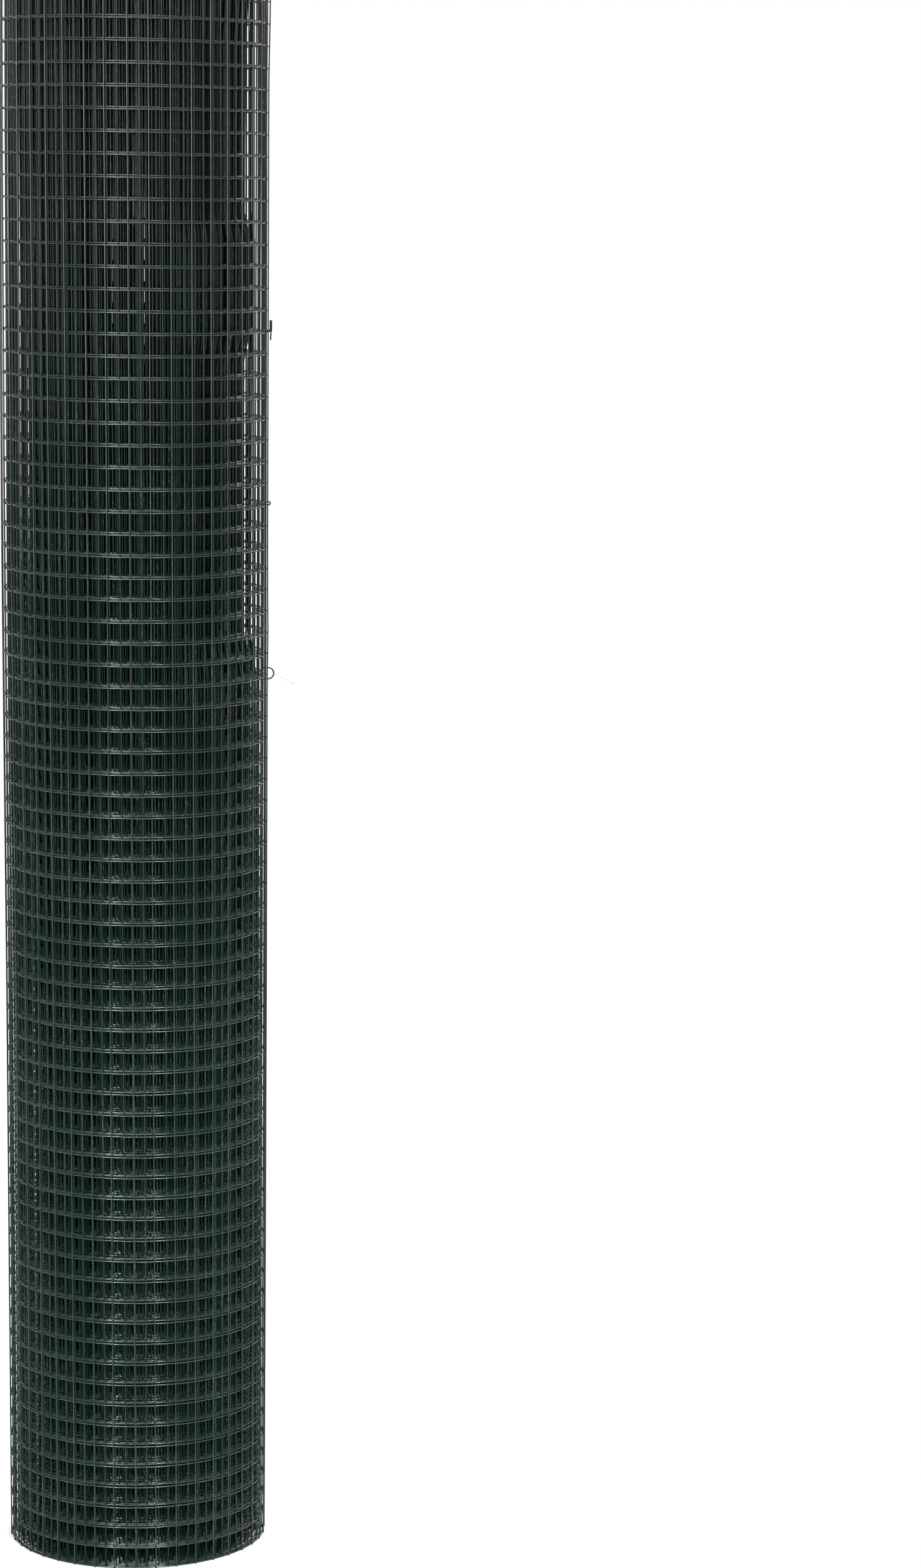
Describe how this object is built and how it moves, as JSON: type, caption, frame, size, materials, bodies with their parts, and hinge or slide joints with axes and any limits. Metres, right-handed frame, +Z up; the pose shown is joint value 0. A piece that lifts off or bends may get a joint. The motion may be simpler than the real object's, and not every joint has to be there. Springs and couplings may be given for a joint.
{
  "type": "roll of welded wire mesh fencing",
  "caption": "Tall upright roll of green plastic-coated welded square wire mesh, wound round an open bore, its free edge held down by small tie wires.",
  "frame": {"origin": "on the bore axis, in the plane of the lower end that the roll stands on", "axes": "+Z up along the bore axis, +X towards the free edge of the outer turn and its tie wires, -Y towards the viewer of the picture"},
  "size_m": [0.1727, 0.156, 1.0042],
  "materials": {
    "coated_mesh": "dark green plastic coat over steel wire, soft gloss",
    "tie_wire": "dark green plastic coat over thin steel wire, bare core at the loose tail"
  },
  "bodies": {
    "root": {"mesh_roll": "coated_mesh", "tie_wire_lower": "tie_wire", "tie_wire_middle": "tie_wire", "tie_wire_upper": "tie_wire"}
  },
  "joints": []
}
